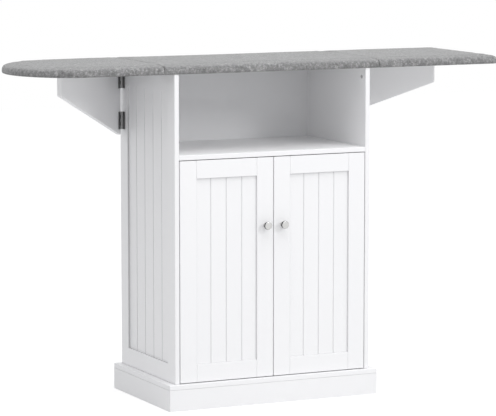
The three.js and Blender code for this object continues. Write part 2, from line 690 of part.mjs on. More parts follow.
// The hinges under one seam. The half on the fixed middle board holds the pin.
function addFlapHinges(group, side, label) {
  for (const [place, y] of [['front', -FLAP_Y], ['back', FLAP_Y]]) {
    const half = (owner, toward, holdsPin) => {
      const geometry = hingeHalf({
        length: FLAP_LENGTH,
        radius: FLAP_R,
        plateWidth: FLAP_PLATE_W,
        plateY: [-FLAP_PLATE_T, 0],
        toward,
        holdsPin,
      });
      const name = `${label}_flap_hinge_${owner}_${place}`;
      add(group, name, geometry, ZINC, side * SEAM_X, y, UNDERSIDE_Z).rotation.x = -Math.PI / 2;
    };
    half('fixed', -side, true);
    half('leaf', side, false);
  }
}

// ---- Brackets -----------------------------------------------------------------------------------

// A bracket's face: straight on top, tapering from a deep root to a shallow free end
function bracketOutline() {
  const root = CLEAR + JOINT;
  const r = BRACKET_CORNER_R;
  const slope = (BRACKET_TIP_Z - BRACKET_ROOT_Z) / (BRACKET_L - root);
  const outline = new THREE.Shape();
  outline.moveTo(root, BRACKET_TOP_Z);
  outline.lineTo(root, BRACKET_ROOT_Z + r);
  outline.quadraticCurveTo(root, BRACKET_ROOT_Z, root + r, BRACKET_ROOT_Z + r * slope);
  outline.lineTo(BRACKET_L - r, BRACKET_TIP_Z - r * slope);
  outline.quadraticCurveTo(BRACKET_L, BRACKET_TIP_Z, BRACKET_L, BRACKET_TIP_Z + r);
  outline.lineTo(BRACKET_L, BRACKET_TOP_Z - r);
  outline.quadraticCurveTo(BRACKET_L, BRACKET_TOP_Z, BRACKET_L - r, BRACKET_TOP_Z);
  outline.closePath();
  return outline;
}

// Everything at one side's bracket, in a frame whose origin is the hinge pin's axis
function addBracket(group, side, label) {
  const pivot = new THREE.Group();
  pivot.position.set(side * BUTT_AXIS_X, BUTT_AXIS_Y, 0);
  group.add(pivot);

  // the swinging frame: its +X runs along the bracket
  const open = THREE.MathUtils.degToRad(BRACKET_OPEN);
  const swing = new THREE.Group();
  swing.rotation.z = -Math.PI / 2 + side * open;
  pivot.add(swing);

  const plate = easedPlate(bracketOutline(), BRACKET_T).rotateX(Math.PI / 2);
  const farFace = BRACKET_FACE + BRACKET_T;
  add(swing, `${label}_bracket`, plate, WHITE, 0, side > 0 ? farFace : -BRACKET_FACE);

  for (const [place, drop] of [['upper', BUTT_UPPER_DROP], ['lower', BUTT_LOWER_DROP]]) {
    const z = UNDERSIDE_Z - drop + BUTT_LENGTH / 2;
    const half = (faceSign, holdsPin) => hingeHalf({
      length: BUTT_LENGTH,
      radius: BUTT_R,
      plateWidth: BUTT_PLATE_W,
      plateY: [faceSign * BUTT_R, faceSign * (BUTT_R - BUTT_PLATE_T)].sort((a, b) => a - b),
      toward: 1,
      holdsPin,
    });
    const fixed = add(pivot, `${label}_bracket_hinge_fixed_${place}`, half(-side, true), DARK_STEEL, 0, 0, z);
    fixed.rotation.z = -Math.PI / 2;
    add(swing, `${label}_bracket_hinge_swing_${place}`, half(side, false), DARK_STEEL, 0, 0, z);
  }
}

// The soft bumper under a leaf, where the open bracket's free end comes to rest
function addBumper(group, side, label) {
  const open = THREE.MathUtils.degToRad(BRACKET_OPEN);
  const along = BRACKET_L - BUMPER_FROM_END;
  const across = BRACKET_FACE + BRACKET_T / 2;
  const x = side * (BUTT_AXIS_X + along * Math.sin(open) + across * Math.cos(open));
  const y = BUTT_AXIS_Y - along * Math.cos(open) + across * Math.sin(open);
  const disc = new THREE.CylinderGeometry(BUMPER_R - 1, BUMPER_R, BUMPER_T - JOINT, BORE_SIDES);
  disc.rotateX(-Math.PI / 2);
  add(group, `${label}_leaf_bumper`, disc, RUBBER, x, y, UNDERSIDE_Z - JOINT - (BUMPER_T - JOINT) / 2);
}

// ---- The whole ----------------------------------------------------------------------------------

const cabinet = new THREE.Group();
cabinet.position.set(-CENTRE_X, -CENTRE_Y, 0);
addPlinth(cabinet);
addSides(cabinet);
addShelves(cabinet);
addDoor(cabinet, -1, 'left_door');
addDoor(cabinet, 1, 'right_door');

const middle = roundedEnds(-SEAM_EDGE_X, SEAM_EDGE_X, SEAM_CORNER_R, SEAM_CORNER_R);
addBoardPart(cabinet, 'middle', middle, [-SEAM_EDGE_X, SEAM_EDGE_X]);
const leafEdge = SEAM_X + SEAM_GAP / 2;
addBoardPart(cabinet, 'left_leaf', nosedLeaf(-LEFT_REACH, -leafEdge), [-leafEdge]);
const rightLeaf = roundedEnds(leafEdge, RIGHT_REACH, SEAM_CORNER_R, RIGHT_CORNER_R);
addBoardPart(cabinet, 'right_leaf', rightLeaf, [leafEdge]);

for (const [side, label] of [[-1, 'left'], [1, 'right']]) {
  addFlapHinges(cabinet, side, label);
  addBracket(cabinet, side, label);
  addBumper(cabinet, side, label);
}

const furniture = new THREE.Group();
furniture.add(cabinet);
export default furniture;
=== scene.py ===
import math

import bmesh
import bpy
from mathutils import Matrix, Vector, noise


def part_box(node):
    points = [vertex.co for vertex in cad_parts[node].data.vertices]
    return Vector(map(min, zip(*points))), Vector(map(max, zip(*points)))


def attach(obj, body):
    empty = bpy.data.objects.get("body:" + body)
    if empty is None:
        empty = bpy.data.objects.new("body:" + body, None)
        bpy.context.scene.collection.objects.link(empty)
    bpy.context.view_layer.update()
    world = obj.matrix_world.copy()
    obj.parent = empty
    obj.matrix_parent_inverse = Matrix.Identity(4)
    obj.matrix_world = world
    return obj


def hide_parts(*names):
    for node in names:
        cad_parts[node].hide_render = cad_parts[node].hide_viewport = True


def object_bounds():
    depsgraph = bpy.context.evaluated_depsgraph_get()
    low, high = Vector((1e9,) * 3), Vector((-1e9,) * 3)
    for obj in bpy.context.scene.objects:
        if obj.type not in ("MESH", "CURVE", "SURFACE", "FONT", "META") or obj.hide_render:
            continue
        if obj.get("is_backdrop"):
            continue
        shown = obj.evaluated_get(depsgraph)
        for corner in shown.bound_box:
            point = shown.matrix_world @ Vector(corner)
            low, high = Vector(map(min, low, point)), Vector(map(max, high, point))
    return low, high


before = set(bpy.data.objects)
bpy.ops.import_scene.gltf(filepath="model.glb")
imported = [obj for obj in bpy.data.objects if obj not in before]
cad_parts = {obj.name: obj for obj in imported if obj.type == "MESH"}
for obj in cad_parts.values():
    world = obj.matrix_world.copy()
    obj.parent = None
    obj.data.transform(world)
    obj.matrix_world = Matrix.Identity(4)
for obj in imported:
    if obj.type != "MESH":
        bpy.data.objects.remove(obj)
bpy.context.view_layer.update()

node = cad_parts
scene = bpy.context.scene


# ---- Camera -------------------------------------------------------------------------------------
# A long lens some seven metres away, a little to the left of the doors and just above the height
# of the ironing surface, looking down by a few degrees.

CAMERA_PLACE = (-3.0018, -6.3599, 1.3424)
CAMERA_ROUND = math.radians(-25.283)
CAMERA_DOWN = math.radians(7.031)
LENS = 201.25
SENSOR = 36

camera = bpy.data.objects.new("camera", bpy.data.cameras.new("camera"))
camera.data.lens = LENS
camera.data.sensor_width = SENSOR
camera.location = CAMERA_PLACE
camera.rotation_euler = (math.pi / 2 - CAMERA_DOWN, 0, CAMERA_ROUND)
camera.data.clip_end = 100
scene.collection.objects.link(camera)
scene.camera = camera


# ---- Room ---------------------------------------------------------------------------------------
# A white studio: a plain floor that runs off into a white surround, a broad soft lamp high up and
# a little in front, a smaller one at the front right, and an even fill from all round.

class Strand:
    """A value inside a finish. Arithmetic on it adds the Math node that works it out."""

    def __init__(self, recipe, socket):
        self.recipe = recipe
        self.socket = socket

    def maths(self, operation, *values):
        """Adds one Math node, fed with these values in turn."""
        settings = {"operation": operation}
        return self.recipe.lay("ShaderNodeMath", settings, dict(enumerate(values)))

    def __add__(self, other):
        return self.maths("ADD", self, other)

    def __sub__(self, other):
        return self.maths("SUBTRACT", self, other)

    def __rsub__(self, other):
        return self.maths("SUBTRACT", other, self)

    def __mul__(self, other):
        return self.maths("MULTIPLY", self, other)

    def __pow__(self, other):
        return self.maths("POWER", self, other)

    def __gt__(self, other):
        return self.maths("GREATER_THAN", self, other)

    def __lt__(self, other):
        return self.maths("LESS_THAN", self, other)

    def __abs__(self):
        return self.maths("ABSOLUTE", self)

    __radd__ = __add__
    __rmul__ = __mul__


class Recipe:
    """The nodes of one finish, laid down one at a time."""

    def __init__(self, owner):
        owner.use_nodes = True
        self.owner = owner
        self.tree = owner.node_tree
        self.tree.nodes.clear()

    def lay(self, kind, settings=None, inputs=None, out=0):
        """Adds a node of one kind, with its settings and what its sockets get."""
        made = self.tree.nodes.new(kind)
        for key, value in (settings or {}).items():
            if key == "stops":
                stops = made.color_ramp.elements
                while len(stops) < len(value):
                    stops.new(1)
                for stop, (position, colour) in zip(stops, value):
                    stop.position = position
                    stop.color = (*colour, 1)
            else:
                setattr(made, key, value)
        for key, value in (inputs or {}).items():
            self.feed(made.inputs[key], value)
        return Strand(self, made.outputs[out]) if made.outputs else None

    def feed(self, socket, value):
        """Links a strand to a socket, or sets a plain colour or number on it."""
        if isinstance(value, Strand):
            self.tree.links.new(value.socket, socket)
        elif socket.type == "RGBA":
            socket.default_value = (*value, 1)
        else:
            socket.default_value = value

    def place(self, stretch=(1, 1, 1)):
        """The place on the object, in metres, scaled along its axes where a pattern asks it."""
        where = self.lay("ShaderNodeTexCoord", out="Object")
        if stretch == (1, 1, 1):
            return where
        inputs = {"Vector": where, "Scale": stretch}
        return self.lay("ShaderNodeMapping", None, inputs, "Vector")

    def axis(self, name):
        """The distance along one axis, in metres."""
        return self.lay("ShaderNodeSeparateXYZ", None, {"Vector": self.place()}, name)

    def speckle(self, scale, detail=2, roughness=0.5, stretch=(1, 1, 1)):
        """Noise from 0 to 1, so many times a metre. A small stretch draws it out along an axis."""
        inputs = {
            "Vector": self.place(stretch),
            "Scale": scale,
            "Detail": detail,
            "Roughness": roughness,
        }
        return self.lay("ShaderNodeTexNoise", None, inputs, "Fac")

    def blend(self, share, first, second):
        """A colour between two, by a share from 0 to 1."""
        settings = {"data_type": "RGBA", "blend_type": "MIX", "clamp_factor": True}
        return self.lay("ShaderNodeMix", settings, {0: share, 6: first, 7: second}, 2)

    def span(self, value, low, high, to_low, to_high):
        """Moves a value from one range to another, cut off at its ends."""
        inputs = {0: value, 1: low, 2: high, 3: to_low, 4: to_high}
        return self.lay("ShaderNodeMapRange", {"clamp": True}, inputs)

    def surface(self, **values):
        """Ends a finish in a Principled shader. Underscores in the names stand for spaces."""
        inputs = {key.replace("_", " "): value for key, value in values.items()}
        shader = self.lay("ShaderNodeBsdfPrincipled", None, inputs)
        self.lay("ShaderNodeOutputMaterial", None, {"Surface": shader})

    def bump(self, height, depth, strength):
        """Turns heights from 0 to 1 into a relief of that depth in metres."""
        inputs = {"Height": height, "Distance": depth, "Strength": strength}
        return self.lay("ShaderNodeBump", None, inputs)


def seen(recipe):
    """1 where the camera, a shiny surface or clear plastic looks at it, and 0 for lighting."""
    total = 0
    for ray in ("Is Camera Ray", "Is Glossy Ray", "Is Transmission Ray"):
        total = recipe.lay("ShaderNodeLightPath", out=ray) + total
    return total > 0.5


FILL = 0.79
FILL_TINT = (0.985, 0.99, 1.0)
FLOOR_SIZE = 16.0
FLOOR_GREY = 0.65
FLOOR_LIFT = 0.5

scene.view_settings.view_transform = "Standard"

surround = Recipe(bpy.data.worlds.new("surround"))
watched = seen(surround)
fill_inputs = {"Color": FILL_TINT, "Strength": FILL}
fill_light = surround.lay("ShaderNodeBackground", None, fill_inputs)
white_inputs = {"Color": (1, 1, 1), "Strength": 1.0}
white_back = surround.lay("ShaderNodeBackground", None, white_inputs)
both = surround.lay("ShaderNodeMixShader", None, {0: watched, 1: fill_light, 2: white_back})
surround.lay("ShaderNodeOutputWorld", None, {"Surface": both})
scene.world = surround.owner

floor_finish = Recipe(bpy.data.materials.new("studio_floor"))
matt = floor_finish.lay("ShaderNodeBsdfDiffuse", None, {"Color": (FLOOR_GREY,) * 3})
lift_inputs = {"Color": (1, 1, 1), "Strength": seen(floor_finish) * FLOOR_LIFT}
lift = floor_finish.lay("ShaderNodeEmission", None, lift_inputs)
lit = floor_finish.lay("ShaderNodeAddShader", None, {0: matt, 1: lift})
floor_finish.lay("ShaderNodeOutputMaterial", None, {"Surface": lit})

floor_form = bmesh.new()
bmesh.ops.create_grid(floor_form, x_segments=4, y_segments=4, size=FLOOR_SIZE / 2)
floor_mesh = bpy.data.meshes.new("studio_floor")
floor_form.to_mesh(floor_mesh)
floor_form.free()
floor_mesh.materials.append(floor_finish.owner)
floor = bpy.data.objects.new("studio_floor", floor_mesh)
scene.collection.objects.link(floor)
floor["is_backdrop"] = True


def lamp(name, place, aim, size, power):
    """A square soft lamp that looks at a point."""
    light = bpy.data.lights.new(name, "AREA")
    light.shape = "SQUARE"
    light.size = size
    light.energy = power
    made = bpy.data.objects.new(name, light)
    made.location = place
    made.rotation_euler = (Vector(aim) - Vector(place)).to_track_quat("-Z", "Y").to_euler()
    scene.collection.objects.link(made)


lamp("lamp_above", place=(-0.1, -1.0, 3.4), aim=(0, 0, 0.4), size=2.6, power=54)
lamp("lamp_front", place=(2.5, -4.8, 3.1), aim=(0, 0, 0.5), size=1.3, power=66)


# ---- White boards -------------------------------------------------------------------------------
# Plinth, base, sides, shelves, doors and brackets are board with a sprayed, cool white, satin
# lacquer. It lies a touch uneven. The milled grooves and the steps round the recessed fields are
# painted a little grey as painted shade, less of it on the sides up under the top.

PAINTED = [
    "plinth_front",
    "plinth_back",
    "plinth_left",
    "plinth_right",
    "base_panel",
    "cubby_floor",
    "inner_shelf",
    "left_bracket",
    "right_bracket",
]
DOOR_BOARDS = ["hinge_stile", "knob_stile", "top_rail", "bottom_rail", "centre_panel"]
WHITE = (0.876, 0.875, 0.884)
WHITE_SHADE = (0.855, 0.854, 0.866)
# The grey of the painted shade in the grooves and on the steps.
PAINTED_SHADE = (0.50, 0.50, 0.508)
CABINET_X = -0.0045

# Sides: their face and the floor of the field, out from the middle, and the field front to back.
SIDE_FACE = 0.270
SIDE_FLOOR = 0.265
SIDE_Y = (-0.1625, 0.1780)
SIDE_GROOVE = 0.004
SIDE_GROOVE_LIP = (0.0005, 0.0001)
# Painted shade in the sides' grooves and on their recess steps, and the heights over which it
# fades to a share up under the top.
SIDE_PAINTED_SHADE = 0.95
SHADE_FADE_Z = (0.715, 0.745)
SHADE_FADE_SHARE = 0.35

# Doors: their face and the floor of the field, front to back, and the field's middle and size.
DOOR_FACE = -0.164375
DOOR_FLOOR = -0.159375
DOOR_GROOVE = (0.0002, 0.003)
# Painted shade in the doors' grooves and on the steps round their centre fields.
DOOR_GROOVE_SHADE = 0.28
DOOR_STEP_SHADE = 0.45
DOOR_STEP_FOOT = 0.0001
FIELD_X = 0.1285
FIELD_HALF_X = 0.0830
FIELD_Z = 0.345
FIELD_HALF_Z = 0.2325
STEP_LIP = 0.0003


def sprayed(recipe, shade_share):
    """Ends a recipe as lacquer, with a share of painted shade on it."""
    clouding = recipe.speckle(3.5, detail=3)
    orange_peel = recipe.speckle(420, detail=1)
    brushed_on = recipe.speckle(60, detail=2)
    clean = recipe.blend(clouding, WHITE_SHADE, WHITE)
    recipe.surface(
        Base_Color=recipe.blend(shade_share, clean, PAINTED_SHADE),
        Roughness=recipe.span(brushed_on, 0.3, 0.7, 0.4, 0.5),
        Normal=recipe.bump(orange_peel, 0.00006, 0.5),
    )


lacquer = Recipe(bpy.data.materials.new("white_lacquer"))
sprayed(lacquer, 0)

# The sides' lacquer, with painted shade in its grooves and on its recess steps, weaker up under
# the top.
side_lacquer = Recipe(bpy.data.materials.new("white_lacquer_sides"))
across = abs(side_lacquer.axis("X") - CABINET_X)
along = side_lacquer.axis("Y")
deep, shallow = (SIDE_FLOOR - lip for lip in SIDE_GROOVE_LIP)
in_groove = side_lacquer.span(across, deep, shallow, SIDE_PAINTED_SHADE, 0)
on_step = (across > SIDE_FLOOR + STEP_LIP) * (across < SIDE_FACE - STEP_LIP) * SIDE_PAINTED_SHADE
milled = (across > SIDE_FLOOR - SIDE_GROOVE) * (along > SIDE_Y[0]) * (along < SIDE_Y[1])
shade_faded = side_lacquer.span(side_lacquer.axis("Z"), *SHADE_FADE_Z, 1, SHADE_FADE_SHARE)
sprayed(side_lacquer, (in_groove + on_step) * milled * shade_faded)

# The doors' lacquer, with painted shade in the grooves and on the steps of the centre fields.
door_lacquer = Recipe(bpy.data.materials.new("white_lacquer_doors"))
depth = door_lacquer.axis("Y")
shallow, deep = (DOOR_FLOOR + reach for reach in DOOR_GROOVE)
in_groove = (depth > shallow) * (depth < deep) * DOOR_GROOVE_SHADE
on_step = (depth > DOOR_FACE + STEP_LIP) * (depth < DOOR_FLOOR - DOOR_STEP_FOOT) * DOOR_STEP_SHADE
off_middle = abs(abs(door_lacquer.axis("X") - CABINET_X) - FIELD_X)
off_height = abs(door_lacquer.axis("Z") - FIELD_Z)
milled = (off_middle < FIELD_HALF_X) * (off_height < FIELD_HALF_Z)
sprayed(door_lacquer, (in_groove + on_step) * milled)


def dress(names, recipe):
    """Gives CAD nodes their finish."""
    for name in names:
        mesh = node[name].data
        mesh.materials.clear()
        mesh.materials.append(recipe.owner)


dress(PAINTED, lacquer)
for side in ("left", "right"):
    dress([f"side_panel_{side}"], side_lacquer)
    dress([f"{side}_door_{board}" for board in DOOR_BOARDS], door_lacquer)


# ---- Back panel ---------------------------------------------------------------------------------
# A 3 mm hardboard sheet with a white foil face, slid down a groove in each side. The foil is
# flatter and duller than the lacquer, and the fibres under it show as a fine, even texture.

foil = Recipe(bpy.data.materials.new("white_foil"))
fibres = foil.speckle(900, detail=3, stretch=(1, 1, 0.25))
foil.surface(
    Base_Color=foil.blend(foil.speckle(5, detail=2), (0.80, 0.80, 0.812), (0.83, 0.832, 0.845)),
    Roughness=foil.span(fibres, 0.2, 0.8, 0.55, 0.68),
    Normal=foil.bump(fibres, 0.00008, 0.6),
)
dress(["back_panel"], foil)


# ---- Boards under the padding -------------------------------------------------------------------
# The three boards inside the covers are chipboard with a plain, thin white facing. Its print is
# even, with a fine pebbled press mark and the odd grey fleck of the chips behind.

facing = Recipe(bpy.data.materials.new("white_facing"))
pebble = facing.speckle(850, detail=2)
flecks = facing.span(facing.speckle(330, detail=3, roughness=0.6), 0.62, 0.72, 0, 0.5)
facing.surface(
    Base_Color=facing.blend(flecks, (0.775, 0.775, 0.77), (0.66, 0.655, 0.645)),
    Roughness=facing.span(pebble, 0.25, 0.75, 0.5, 0.62),
    Normal=facing.bump(pebble, 0.00006, 0.6),
)
dress(["middle_board", "left_leaf_board", "right_leaf_board"], facing)


# ---- Knobs --------------------------------------------------------------------------------------
# Turned and nickel plated: a foot, a waisted neck and a dished head with a rounded rim. The face
# is bright over the rings of the lathe, and the head's side is painted near black as a painted
# reflection. A screw through the knob stile holds each.

KNOB_X = 0.0235
KNOB_Z = 0.452
KNOB_SEAT_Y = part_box("left_door_knob_stile")[0].y
HEAD_OUT = (0.0120, 0.0135)
FACE_OUT = (0.0196, 0.0205)
KNOB_PROFILE = [
    (0.0, 0.0),
    (5.6, 0.0),
    (5.9, 0.3),
    (5.9, 1.0),
    (5.5, 1.6),
    (4.9, 2.6),
    (4.5, 4.4),
    (4.3, 6.8),
    (4.5, 9.4),
    (5.3, 11.6),
    (6.9, 12.9),
    (8.7, 13.7),
    (9.6, 14.5),
    (9.9, 15.6),
    (9.9, 18.5),
    (9.7, 19.5),
    (9.2, 20.3),
    (8.5, 20.8),
    (7.7, 20.95),
    (6.8, 20.8),
    (3.4, 20.7),
    (0.0, 20.68),
]
MM = 0.001


def outline(form, points):
    """A row of vertices joined by edges, from points in millimetres."""
    verts = [form.verts.new(Vector(point) * MM) for point in points]
    edges = [form.edges.new(pair) for pair in zip(verts, verts[1:])]
    return verts + edges


def turned(form, profile, steps):
    """Turns a profile of radius and height, in millimetres, about Z."""
    row = outline(form, [(radius, 0, height) for radius, height in profile])
    bmesh.ops.spin(
        form,
        geom=row,
        cent=(0, 0, 0),
        axis=(0, 0, 1),
        angle=2 * math.pi,
        steps=steps,
        use_merge=True,
    )
    bmesh.ops.remove_doubles(form, verts=form.verts, dist=1e-6)


def finished(form, name, recipe, body, crease=35):
    """Makes a bmesh into a named piece with a finish, riding on a body."""
    bmesh.ops.remove_doubles(form, verts=form.verts, dist=1e-6)
    bmesh.ops.recalc_face_normals(form, faces=form.faces)
    mesh = bpy.data.meshes.new(name)
    form.to_mesh(mesh)
    form.free()
    for polygon in mesh.polygons:
        polygon.use_smooth = True
    mesh.set_sharp_from_angle(angle=math.radians(crease))
    mesh.materials.append(recipe.owner)
    made = bpy.data.objects.new(name, mesh)
    scene.collection.objects.link(made)
    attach(made, body)
    return made


nickel = Recipe(bpy.data.materials.new("turned_nickel"))
smudges = nickel.speckle(160, detail=3)
outwards = KNOB_SEAT_Y - nickel.axis("Y")
on_face = nickel.span(outwards, *FACE_OUT, 0, 1)
on_head = nickel.span(outwards, *HEAD_OUT, 0, 1)
bright = nickel.blend(smudges, (0.50, 0.498, 0.492), (0.62, 0.617, 0.608))
# Painted reflection: the near black of the head's side.
painted_dark_side = nickel.blend(smudges, (0.03, 0.03, 0.03), (0.07, 0.07, 0.069))
stem = nickel.blend(smudges, (0.50, 0.498, 0.492), (0.64, 0.637, 0.63))
lathe_rings = nickel.lay(
    "ShaderNodeTexWave",
    {"wave_type": "RINGS", "rings_direction": "Y", "wave_profile": "SIN"},
    {"Vector": nickel.place(), "Scale": 700.0, "Distortion": 0.6, "Detail": 1.0},
    "Fac",
)
nickel.surface(
    Base_Color=nickel.blend(on_face, nickel.blend(on_head, stem, painted_dark_side), bright),
    Metallic=1.0,
    Roughness=nickel.span(smudges, 0.3, 0.7, 0.24, 0.38),
    Normal=nickel.bump(lathe_rings, 0.00002, 0.25),
)
for side, sign in (("left", -1), ("right", 1)):
    form = bmesh.new()
    turned(form, KNOB_PROFILE, steps=48)
    seat = Vector((CABINET_X + sign * KNOB_X, KNOB_SEAT_Y, KNOB_Z))
    to_front = Matrix.Translation(seat) @ Matrix.Rotation(math.pi / 2, 4, "X")
    bmesh.ops.transform(form, matrix=to_front, verts=form.verts)
    knob = finished(form, f"{side}_knob_turned", nickel, f"{side}_door", crease=50)
    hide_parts(f"{side}_door_knob")


# ---- Bracket hinges -----------------------------------------------------------------------------
# Pressed steel butt hinges, burnished dark, one leaf on the cabinet's side and one on the bracket.
# The knuckles are coloured a little lighter than the leaves, and each leaf has two cross-headed
# screws.

BRACKET_PIN_Y = 0.161625
PIN_ACROSS = 0.27325
BRACKET_OPEN = math.radians(49.4)
KNUCKLE_R = 0.0031
PLATE_FACE = 0.0018
SCREW_OUT = 0.0092
SCREW_APART = 0.026
FIXED_TURN = 0.4
SWING_TURN = 0.9

# Shares of a screw head's radius and height: its wall, the two rings of its dome, and its cross.
SCREW_SIDES = 16
SCREW_WALL = 0.45
SCREW_DOME = ((0.22, 0.38), (0.22, 0.17))
CROSS_RIM = 0.06
CROSS_REACH = (0.52, 0.24, 0.17, 0.24)
CROSS_DEEP = 0.6


def picked(items, kind):
    """The vertices, or the edges, among what an operator gives back."""
    return [item for item in items if isinstance(item, kind)]


def screw(head_r, head_t):
    """A cross-headed screw's head as a mesh: a disc drawn up, domed, and sunk in a cross."""
    form = bmesh.new()
    bmesh.ops.create_circle(form, cap_ends=True, segments=SCREW_SIDES, radius=head_r)
    grown = bmesh.ops.extrude_face_region(form, geom=form.faces[:])
    risen = picked(grown["geom"], bmesh.types.BMVert)
    bmesh.ops.translate(form, verts=risen, vec=(0, 0, head_t * SCREW_WALL))
    for inset, lift in SCREW_DOME:
        caps = [face for face in form.faces if len(face.verts) == SCREW_SIDES]
        caps = [face for face in caps if face.normal.z > 0.9]
        top = [max(caps, key=lambda face: face.calc_center_median().z)]
        bmesh.ops.inset_region(form, faces=top, thickness=head_r * inset, depth=0)
        bmesh.ops.translate(form, verts=top[0].verts[:], vec=(0, 0, head_t * lift))
    bmesh.ops.inset_region(form, faces=top, thickness=head_r * CROSS_RIM, depth=0)
    for corner in top[0].verts:
        eighth = round(math.atan2(corner.co.y, corner.co.x) / (math.pi / 8)) % 4
        reach = CROSS_REACH[eighth] * head_r
        corner.co.xy = corner.co.xy.normalized() * reach
    pushed = bmesh.ops.extrude_face_region(form, geom=top)
    sunk = picked(pushed["geom"], bmesh.types.BMVert)
    bmesh.ops.translate(form, verts=sunk, vec=(0, 0, -head_t * CROSS_DEEP))
    bmesh.ops.delete(form, geom=top, context="FACES_ONLY")
    mesh = bpy.data.meshes.new("screw_head")
    form.to_mesh(mesh)
    form.free()
    return mesh


def set_in(form, part, seat, out, turn=0.0):
    """Adds a small part, standing on a seat and pointing out of it."""
    before = len(form.verts)
    form.from_mesh(part)
    form.verts.ensure_lookup_table()
    aimed = Vector(out).to_track_quat("Z", "Y").to_matrix().to_4x4()
    stood = Matrix.Translation(seat) @ aimed @ Matrix.Rotation(turn, 4, "Z")
    bmesh.ops.transform(form, matrix=stood, verts=form.verts[before:])


dark_steel = Recipe(bpy.data.materials.new("burnished_steel"))
rubbed = dark_steel.speckle(240, detail=4, stretch=(1, 1, 0.3))
from_pin_x = abs(dark_steel.axis("X") - CABINET_X) - PIN_ACROSS
from_pin_y = dark_steel.axis("Y") - BRACKET_PIN_Y
on_knuckle = from_pin_x ** 2 + from_pin_y ** 2 < KNUCKLE_R ** 2
plate = dark_steel.blend(rubbed, (0.19, 0.19, 0.193), (0.34, 0.34, 0.342))
knuckle = dark_steel.blend(rubbed, (0.31, 0.31, 0.313), (0.50, 0.50, 0.502))
dark_steel.surface(
    Base_Color=dark_steel.blend(on_knuckle, plate, knuckle),
    Metallic=1.0,
    Roughness=dark_steel.span(rubbed, 0.25, 0.75, 0.56, 0.42),
    Normal=dark_steel.bump(dark_steel.speckle(1500, detail=2), 0.00004, 0.5),
)

hinge_screw = screw(head_r=0.0026, head_t=0.0011)
for side, sign in (("left", -1), ("right", 1)):
    pin = Vector((CABINET_X + sign * PIN_ACROSS, BRACKET_PIN_Y, 0))
    swung = Matrix.Rotation(-math.pi / 2 + sign * BRACKET_OPEN, 3, "Z")
    fixed_form = bmesh.new()
    swing_form = bmesh.new()
    for level in ("upper", "lower"):
        halves = [f"{side}_bracket_hinge_{half}_{level}" for half in ("fixed", "swing")]
        dress(halves, dark_steel)
        low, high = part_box(halves[0])
        for step in (-0.5, 0.5):
            z = (low.z + high.z) / 2 + step * SCREW_APART
            seat = pin + Vector((-sign * PLATE_FACE, -SCREW_OUT, z))
            set_in(fixed_form, hinge_screw, seat, (sign, 0, 0), FIXED_TURN + step)
            seat = pin + swung @ Vector((SCREW_OUT, sign * PLATE_FACE, 0)) + Vector((0, 0, z))
            out = swung @ Vector((0, -sign, 0))
            set_in(swing_form, hinge_screw, seat, out, SWING_TURN - step)
    name = f"{side}_bracket_screws"
    finished(fixed_form, f"{name}_fixed", dark_steel, "cabinet")
    finished(swing_form, f"{name}_swing", dark_steel, f"{side}_support")


# ---- Cup hinges, shelf pins and cams ------------------------------------------------------------
# The hardware inside is bright zinc: a cup let into each hinge stile, its cranked arm screwed to
# the side, and the pins under the loose shelf. The cams that draw each side up to the top are
# darker castings, sunk in bores in the sides' inner faces.

CABINET_Y = 0.007625
DOOR_EDGE = 0.256
CUP_IN = 0.021
EAR_OUT = 0.0165
EAR_REACH = 0.0218
ARM_TOP = 0.00875
WING_TOP = 0.00045
WING_REACH = 0.018
WING_OUT = 0.054
SET_SCREWS_OUT = (0.062, 0.086)
EAR_TURN = 0.7
WING_TURN = 1.1
TURN_RATE = 9

zinc = Recipe(bpy.data.materials.new("bright_zinc"))
grain = zinc.speckle(700, detail=3, stretch=(1, 0.15, 1))
bloom = zinc.speckle(90, detail=4)
zinc.surface(
    Base_Color=zinc.blend(bloom, (0.50, 0.51, 0.525), (0.68, 0.69, 0.70)),
    Metallic=1.0,
    Roughness=zinc.span(grain, 0.3, 0.7, 0.3, 0.42),
    Normal=zinc.bump(grain, 0.00003, 0.4),
)

small_screw = screw(head_r=0.0032, head_t=0.0009)
set_screw = screw(head_r=0.0026, head_t=0.0007)
for side, sign in (("left", -1), ("right", 1)):
    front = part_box(f"{side}_door_knob_stile")[0].y
    cup_form = bmesh.new()
    arm_form = bmesh.new()
    for level in ("upper", "lower"):
        cup_node, arm_node = (f"{side}_door_hinge_{part}_{level}" for part in ("cup", "arm"))
        dress([cup_node, arm_node], zinc)
        low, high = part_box(cup_node)
        z = (low.z + high.z) / 2
        cup_x = CABINET_X + sign * (DOOR_EDGE - CUP_IN)
        edge_x = CABINET_X + sign * DOOR_EDGE
        for step in (-1, 1):
            ear = (cup_x, front + EAR_OUT, z + step * EAR_REACH)
            set_in(cup_form, small_screw, ear, (0, 1, 0), EAR_TURN * step)
            wing = (edge_x - sign * WING_TOP, front + WING_OUT, z + step * WING_REACH)
            set_in(arm_form, small_screw, wing, (-sign, 0, 0), WING_TURN * step)
        for reach in SET_SCREWS_OUT:
            top = (edge_x - sign * ARM_TOP, front + reach, z)
            set_in(arm_form, set_screw, top, (-sign, 0, 0), reach * TURN_RATE)
    finished(cup_form, f"{side}_cup_screws", zinc, f"{side}_door")
    finished(arm_form, f"{side}_arm_screws", zinc, "cabinet")
    dress([f"shelf_pin_{side}_{place}" for place in ("front", "back")], zinc)

CAM_Z = 0.81275
CAM_Y = (-0.150, 0.140)
CAM_DEEP = 0.0055
CAM_T = 0.0026
CAM_SCREW_UP = 0.0025
CAM_TURN = 0.5
INNER_FACE = 0.258
CAM_PROFILE = [(0, 0), (4.5, 0), (4.7, 0.3), (4.7, 2.2), (4.4, 2.6), (0, 2.6)]

